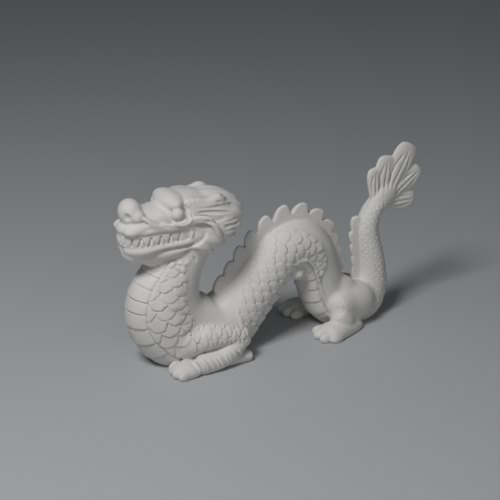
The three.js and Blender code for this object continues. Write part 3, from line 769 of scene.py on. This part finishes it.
# Tool strokes laid from the side: path (x, z), width, height.
STROKES = [
    # valleys between the locks of the mane, and strands on them
    ([(-56, 124.4), (-46, 122), (-33, 121)], 2.4, -1.5),
    ([(-60, 129), (-49, 128.4), (-37, 126.4), (-26, 124)], 1.5, -0.8),
    ([(-61, 132.5), (-52.5, 131), (-40.5, 130.6), (-28, 127.8), (-18, 125.8)], 2.2, -0.9),
    ([(-44, 131.8), (-35, 131.2), (-20.5, 128.4)], 1.6, -0.9),
    ([(-37, 139.6), (-28.5, 136.6), (-17, 133)], 1.5, -1.1),
    ([(-32.5, 134.6), (-25, 132.4), (-15.5, 129.6)], 1.5, -1.1),
    ([(-38, 115), (-28, 115.4), (-20, 114.6)], 2.2, -1.5),
    ([(-36, 108), (-28, 107), (-23, 108.6)], 1.8, -1.2),
    ([(-57, 127.4), (-46, 125.6), (-32, 123)], 1.2, 0.8),
    ([(-60, 131.2), (-50, 130.4), (-40, 129.2), (-28, 126.4)], 1.2, 0.8),
    ([(-42, 119), (-32, 118.6), (-20, 118.6)], 1.3, -0.9),
    ([(-40, 111.6), (-31, 111.4), (-22, 111.6)], 1.3, -0.9),
    ([(-46, 103), (-38, 101.4), (-31, 101)], 1.5, -1),
    ([(-50, 98.6), (-44, 97), (-38, 97)], 1.4, -0.9),
    # groove under the lower lip, round the mouth's corner
    ([(-103, 97), (-97, 99.6), (-91, 101.6), (-80.6, 102.8), (-64, 103.8), (-55.8, 107.6),
      (-52.8, 112.6), (-53.8, 117.4)], 2.4, -1.5),
    ([(-64.6, 116.4), (-64.4, 113), (-65, 109.4)], 1.2, -1.2),
    ([(-84, 93.6), (-79, 95.4), (-74, 96.6)], 1.8, -0.8),
    ([(-69, 98), (-66, 98.4), (-63.6, 98.2)], 1.6, -1),
    ([(-60.6, 99), (-58.4, 99.4), (-56.4, 99)], 1.6, -1),
    # tufts of beard on the side of the throat
    ([(-78, 92), (-76.4, 88), (-73, 84.4)], 1.5, 1.1),
    ([(-75.4, 92.6), (-73.6, 88.8), (-70.6, 86)], 1.3, -1),
    ([(-72, 93.4), (-70, 90), (-67, 87.4)], 1.4, 0.9),
    ([(-61.4, 94), (-59.8, 91.6), (-59, 88.6)], 1.3, -1),
    ([(-66.6, 93.4), (-65, 91), (-63.4, 89)], 1.3, 0.7),
    # groove behind the eye, lower lid and the fold beside it
    ([(-67.4, 125.4), (-65.8, 129), (-66.2, 132.8)], 1.5, -2.2),
    ([(-79.6, 130.2), (-77, 124), (-71, 121.8), (-65, 124), (-63.6, 129), (-64.8, 133)],
     1.5, 1.1),
    ([(-64, 123), (-61.4, 126), (-61, 129.6)], 1.0, 0.7),
    # small bumps at the outer end of the brow
    *[([(x - 0.5, z), (x + 0.5, z + 0.4)], 1.3, 0.6) for x, z in (
        (-67.4, 138.2), (-65, 136.6), (-63.2, 134.6), (-62.2, 132), (-65.4, 139.6),
        (-62.2, 137.4))],
    # crease between the hood of the brows and the snout
    ([(-84.4, 135.6), (-82, 132.6), (-79.4, 130.2)], 1.6, -1.2),
    # curls behind the brow
    ([(-68.5, 138.4), (-66, 140.6), (-63.8, 138.4), (-65.6, 136.4), (-67.4, 137.6)], 1, 0.55),
    ([(-63.2, 139), (-61, 141), (-59, 138.8), (-61, 137)], 1, 0.55),
    ([(-71.5, 141.6), (-69, 143), (-66.6, 141.4)], 1, -0.7),
    # snout
    ([(-97.7, 132.6), (-92.3, 127.8), (-85, 122.6), (-78, 121.2)], 1.4, -0.8),
    ([(-94, 135), (-89, 130), (-81.5, 124.4)], 1.3, -0.6),
    ([(-100.4, 127.4), (-98.4, 126), (-96.4, 124)], 1.5, -1.9),
    # horn tip
    ([(-41, 136), (-38.4, 134), (-35.6, 134.6)], 1.2, -0.6),
]


def carve_forearm(surface):
    """Folds of loose skin across the forearm, each with a crease beside it."""
    dice = np.random.default_rng(5).random((12, 3))
    for k in range(10):
        x = -29.5 - 4.3 * k + 2.4 * (dice[k, 0] - 0.5)
        top = 15.6 if x > -46 else 14
        low = 8.6 if x > -36 else 3.4
        surface.stroke([(x - 3.4, 34, top), (x - 1, 38, 0.5 * (top + low)), (x + 1.6, 38, low)],
                       1.5, 0.5 + 0.9 * dice[k, 1])
        surface.stroke([(x - 5.4, 34, top - 1), (x - 3, 38, 0.5 * (top + low)),
                        (x - 0.6, 38, low)], 1.1, -0.6 - 0.4 * dice[k, 2])


def carve_flank(surface):
    """Fine scratches down the flank, where the scales fade out above the haunch."""
    dice = np.random.default_rng(3).random((14, 2))
    for k in range(14):
        x, z = 58.5 + 1.3 * k + dice[k, 0], 58 - 2.1 * k
        surface.stroke([(x, 20, z), (x + 4, 20, z - 1.6), (x + 8 + 3 * dice[k, 1], 20, z - 4)],
                       0.9, -0.3)


def carve_leaves(surface):
    """Three grooves down each leaf of the tail fan."""
    for foot_x, foot_z, tip_x, tip_z, width, _ in LEAVES:
        along = np.array((tip_x - foot_x, tip_z - foot_z))
        side = np.array((-along[1], along[0])) / np.linalg.norm(along)
        foot = np.array((foot_x, foot_z))
        for offset, start, end in ((-0.24, 0.2, 0.84), (0.02, 0.12, 0.93), (0.28, 0.2, 0.84)):
            path = []
            for t in (start, 0.5 * (start + end), end):
                x, z = foot + along * t + side * (offset * width * math.sin(math.pi * min(t, 0.9)))
                path.append((x, 5, z))
            surface.stroke(path, 1.35, -1.0)


# ---- building up and carving -----------------------------------------------------------

clay = knead([body, *head_masses(), *both(limb_masses), ball(ARCH_PAD, ARCH_PAD_RADII)],
             BODY_GRAIN, BODY_RUBS)
clay = knead([clay, *both(head_lumps), taper(HOOD, across=(1, 0, 0), step=1.5),
              ball(NOSE, NOSE_RADII), ball(LIP_TIP, LIP_TIP_RADII), ball(CHIN, CHIN_RADII),
              taper(THROAT)],
             HEAD_GRAIN, HEAD_RUBS)
clay = knead([clay, *both(features), *[tooth for run in FIN_RUNS for tooth in fin(run)],
              *[leaf(*numbers) for numbers in LEAVES], *[taper(web) for web in WEBS]],
             FEATURE_GRAIN, FEATURE_RUBS)
clay = knead([clay, *[ball(centre, EYE_RADII) for s in (-1, 1) for centre in on_side([EYE], s)]],
             EYE_GRAIN, EYE_RUBS)
# cut flat where it stands, and closed there
bm = bmesh.new()
bm.from_mesh(clay)
sole = bmesh.ops.bisect_plane(
    bm, geom=bm.verts[:] + bm.edges[:] + bm.faces[:], plane_co=(0, 0, 0), plane_no=(0, 0, -1),
    clear_outer=True,
)["geom_cut"]
bmesh.ops.holes_fill(bm, edges=[e for e in sole if isinstance(e, bmesh.types.BMEdge)])
clay = lump(bm)

surface = Surface(clay)
carve_body(surface)
for side in (-1, 1):
    carve_arm(surface, side)
    carve_knee(surface, side)
surface.press()
for path, width, height in STROKES:
    surface.stroke([(x, 20, z) for x, z in path], width, height)
surface.stroke(NOSTRIL, 4.4, -2.3, fade=0.4, flat=False)
carve_teeth(surface)
carve_forearm(surface)
carve_flank(surface)
carve_leaves(surface)
surface.press()

piece = pile([clay], "dragon_figurine")
thin = piece.modifiers.new("thin", "DECIMATE")
thin.ratio = TRIANGLES / (2 * len(clay.polygons))
settle(piece)


def mark_crevices(mesh):
    """Stores on each point how deep it lies in a groove (above 0.5) or on an edge (below).

    The clay's colour uses it for painted shade in the grooves and a painted highlight on the
    edges.
    """
    points = coordinates(mesh)
    normals = np.empty(len(points) * 3, np.float32)
    mesh.vertex_normals.foreach_get("vector", normals)
    normals = normals.reshape(-1, 3)
    ends = np.empty(len(mesh.edges) * 2, np.int64)
    mesh.edges.foreach_get("vertices", ends)
    a, b = ends.reshape(-1, 2).T
    step = points[b] - points[a]
    step /= np.maximum(np.linalg.norm(step, axis=1), 1e-9)[:, None]
    count = np.bincount(ends, minlength=len(points)).clip(1)
    bend = (np.bincount(a, (normals[a] * step).sum(1), len(points))
            - np.bincount(b, (normals[b] * step).sum(1), len(points))) / count
    for _ in range(3):
        bend = 0.5 * bend + 0.5 * (np.bincount(a, bend[b], len(points))
                                   + np.bincount(b, bend[a], len(points))) / count
    shade = mesh.attributes.new("groove_shade_edge_highlight", "FLOAT", "POINT")
    shade.data.foreach_set("value", np.clip(0.5 + 1.6 * bend, 0, 1).astype(np.float32))


mark_crevices(piece.data)
set_coordinates(piece.data, coordinates(piece.data) * MM + np.array(ORIGIN))
for polygon in piece.data.polygons:
    polygon.use_smooth = True


# ---- materials -------------------------------------------------------------------------


class Value:
    """A shader socket that takes part in Python sums, each adding its Math node."""

    def __init__(self, shader, socket):
        self.shader = shader
        self.socket = socket

    def _math(self, operation, first, second):
        return self.shader.node("ShaderNodeMath", {"operation": operation},
                                {0: first, 1: second})

    def __add__(self, other):
        return self._math("ADD", self, other)

    def __radd__(self, other):
        return self._math("ADD", other, self)

    def __mul__(self, other):
        return self._math("MULTIPLY", self, other)

    def __rmul__(self, other):
        return self._math("MULTIPLY", other, self)


class Shader:
    """One material: its nodes, and the surface that they feed."""

    def __init__(self, name):
        self.material = bpy.data.materials.new(name)
        self.material.use_nodes = True
        self.tree = self.material.node_tree
        self.surface = self.tree.nodes["Principled BSDF"]

    def node(self, kind, settings=None, sockets=None, out=0):
        """Any node: its type, its settings, then values or links for its sockets."""
        made = self.tree.nodes.new(kind)
        for name, setting in (settings or {}).items():
            setattr(made, name, setting)
        for name, value in (sockets or {}).items():
            self.set(made, name, value)
        return Value(self, made.outputs[out])

    def set(self, node, name, value):
        if isinstance(value, Value):
            self.tree.links.new(value.socket, node.inputs[name])
        else:
            node.inputs[name].default_value = value

    def noise(self, place, scale, detail, roughness=0.5):
        return self.node("ShaderNodeTexNoise", {}, {
            "Vector": place, "Scale": scale, "Detail": detail, "Roughness": roughness,
        })

    def between(self, value, low, high, to_low=0.0, to_high=1.0):
        return self.node("ShaderNodeMapRange", {"interpolation_type": "SMOOTHSTEP"}, {
            "Value": value, "From Min": low, "From Max": high, "To Min": to_low,
            "To Max": to_high,
        })

    def mixed(self, factor, first, second):
        return self.node("ShaderNodeMix", {"data_type": "RGBA"}, {0: factor, 6: first, 7: second},
                         out=2)


def bisque_clay():
    """Unglazed white ceramic: matt, faintly patchy and grainy, with painted shade in the creases
    and a painted highlight on the edges.
    """
    clay = Shader("bisque_clay")
    place = clay.node("ShaderNodeTexCoord", out="Object")
    groove_shade_edge_highlight = clay.node("ShaderNodeAttribute", {"attribute_name": "groove_shade_edge_highlight"}, out="Fac")
    patches = clay.noise(place, 28, 4)
    grain = clay.noise(place, 900, 2, 0.6)
    speckle = clay.noise(place, 2600, 1)
    tone = clay.mixed(clay.between(patches, 0.35, 0.65), (0.70, 0.69, 0.675, 1),
                      (0.745, 0.735, 0.715, 1))
    tone = clay.mixed(clay.between(grain, 0.3, 0.7, 0, 0.35), tone, (0.66, 0.65, 0.635, 1))
    # painted shade: the grooves darkened toward grey
    tone = clay.mixed(clay.between(groove_shade_edge_highlight, 0.52, 0.85, 0, 0.55), tone, (0.42, 0.41, 0.40, 1))
    # painted highlight: the edges lightened
    tone = clay.mixed(clay.between(groove_shade_edge_highlight, 0.44, 0.15, 0, 0.6), tone, (0.80, 0.785, 0.755, 1))
    clay.set(clay.surface, "Base Color", tone)
    clay.set(clay.surface, "Roughness", clay.between(grain, 0.25, 0.75, 0.68, 0.84))
    clay.set(clay.surface, "Specular IOR Level", 0.35)
    relief = patches * 0.5 + grain * 0.16 + speckle * 0.07
    clay.set(clay.surface, "Normal", clay.node(
        "ShaderNodeBump", {}, {"Strength": 0.35, "Distance": 0.0008, "Height": relief}
    ))
    return clay.material


def floor_paint():
    paint = Shader("studio_floor")
    paint.set(paint.surface, "Base Color", (0.50, 0.505, 0.515, 1))
    paint.set(paint.surface, "Roughness", 0.75)
    return paint.material


piece.data.materials.append(bisque_clay())
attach(piece, "root")
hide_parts("dragon")

# ---- floor, light and camera -----------------------------------------------------------

AZIMUTH, ELEVATION = math.radians(-29), math.radians(22)
LENS = 100.8
# The camera's distance and target are modelling millimetres, the lights' places are metres.
CAMERA_DISTANCE = 1124.5
LOOK_AT = (0, 0, 80)
LIT_POINT = Vector((0, 0, 0.06))

bm = bmesh.new()
bmesh.ops.create_grid(bm, x_segments=1, y_segments=1, size=3.0)
floor = bpy.data.objects.new("floor", lump(bm))
bpy.context.scene.collection.objects.link(floor)
floor.data.materials.append(floor_paint())

centre = ORIGIN + Vector(LOOK_AT) * MM
back = Vector((math.sin(AZIMUTH) * math.cos(ELEVATION), -math.cos(AZIMUTH) * math.cos(ELEVATION),
               math.sin(ELEVATION)))
camera_data = bpy.data.cameras.new("camera")
camera_data.sensor_width = 36
camera_data.lens = LENS
camera = bpy.data.objects.new("camera", camera_data)
bpy.context.scene.collection.objects.link(camera)
camera.location = centre + back * CAMERA_DISTANCE * MM
camera.rotation_euler = (-back).to_track_quat("-Z", "Y").to_euler()
bpy.context.scene.camera = camera


def softbox(name, place, size, power):
    """A round soft light that points at the middle of the figure."""
    light = bpy.data.lights.new(name, "AREA")
    light.shape = "DISK"
    light.size = size
    light.energy = power
    lamp = bpy.data.objects.new(name, light)
    bpy.context.scene.collection.objects.link(lamp)
    lamp.location = place
    lamp.rotation_euler = (Vector(place) - LIT_POINT).to_track_quat("Z", "Y").to_euler()


softbox("key_light", (-0.7, -0.4, 1.08), 0.42, 9.4)
softbox("fill_light", (-0.2, -1.4, 0.4), 1.0, 1.6)
world = bpy.data.worlds.new("studio")
world.use_nodes = True
sky = world.node_tree.nodes["Background"]
sky.inputs["Color"].default_value = (0.8, 0.82, 0.86, 1)
sky.inputs["Strength"].default_value = 0.08
bpy.context.scene.world = world
bpy.context.scene.view_settings.view_transform = "Standard"
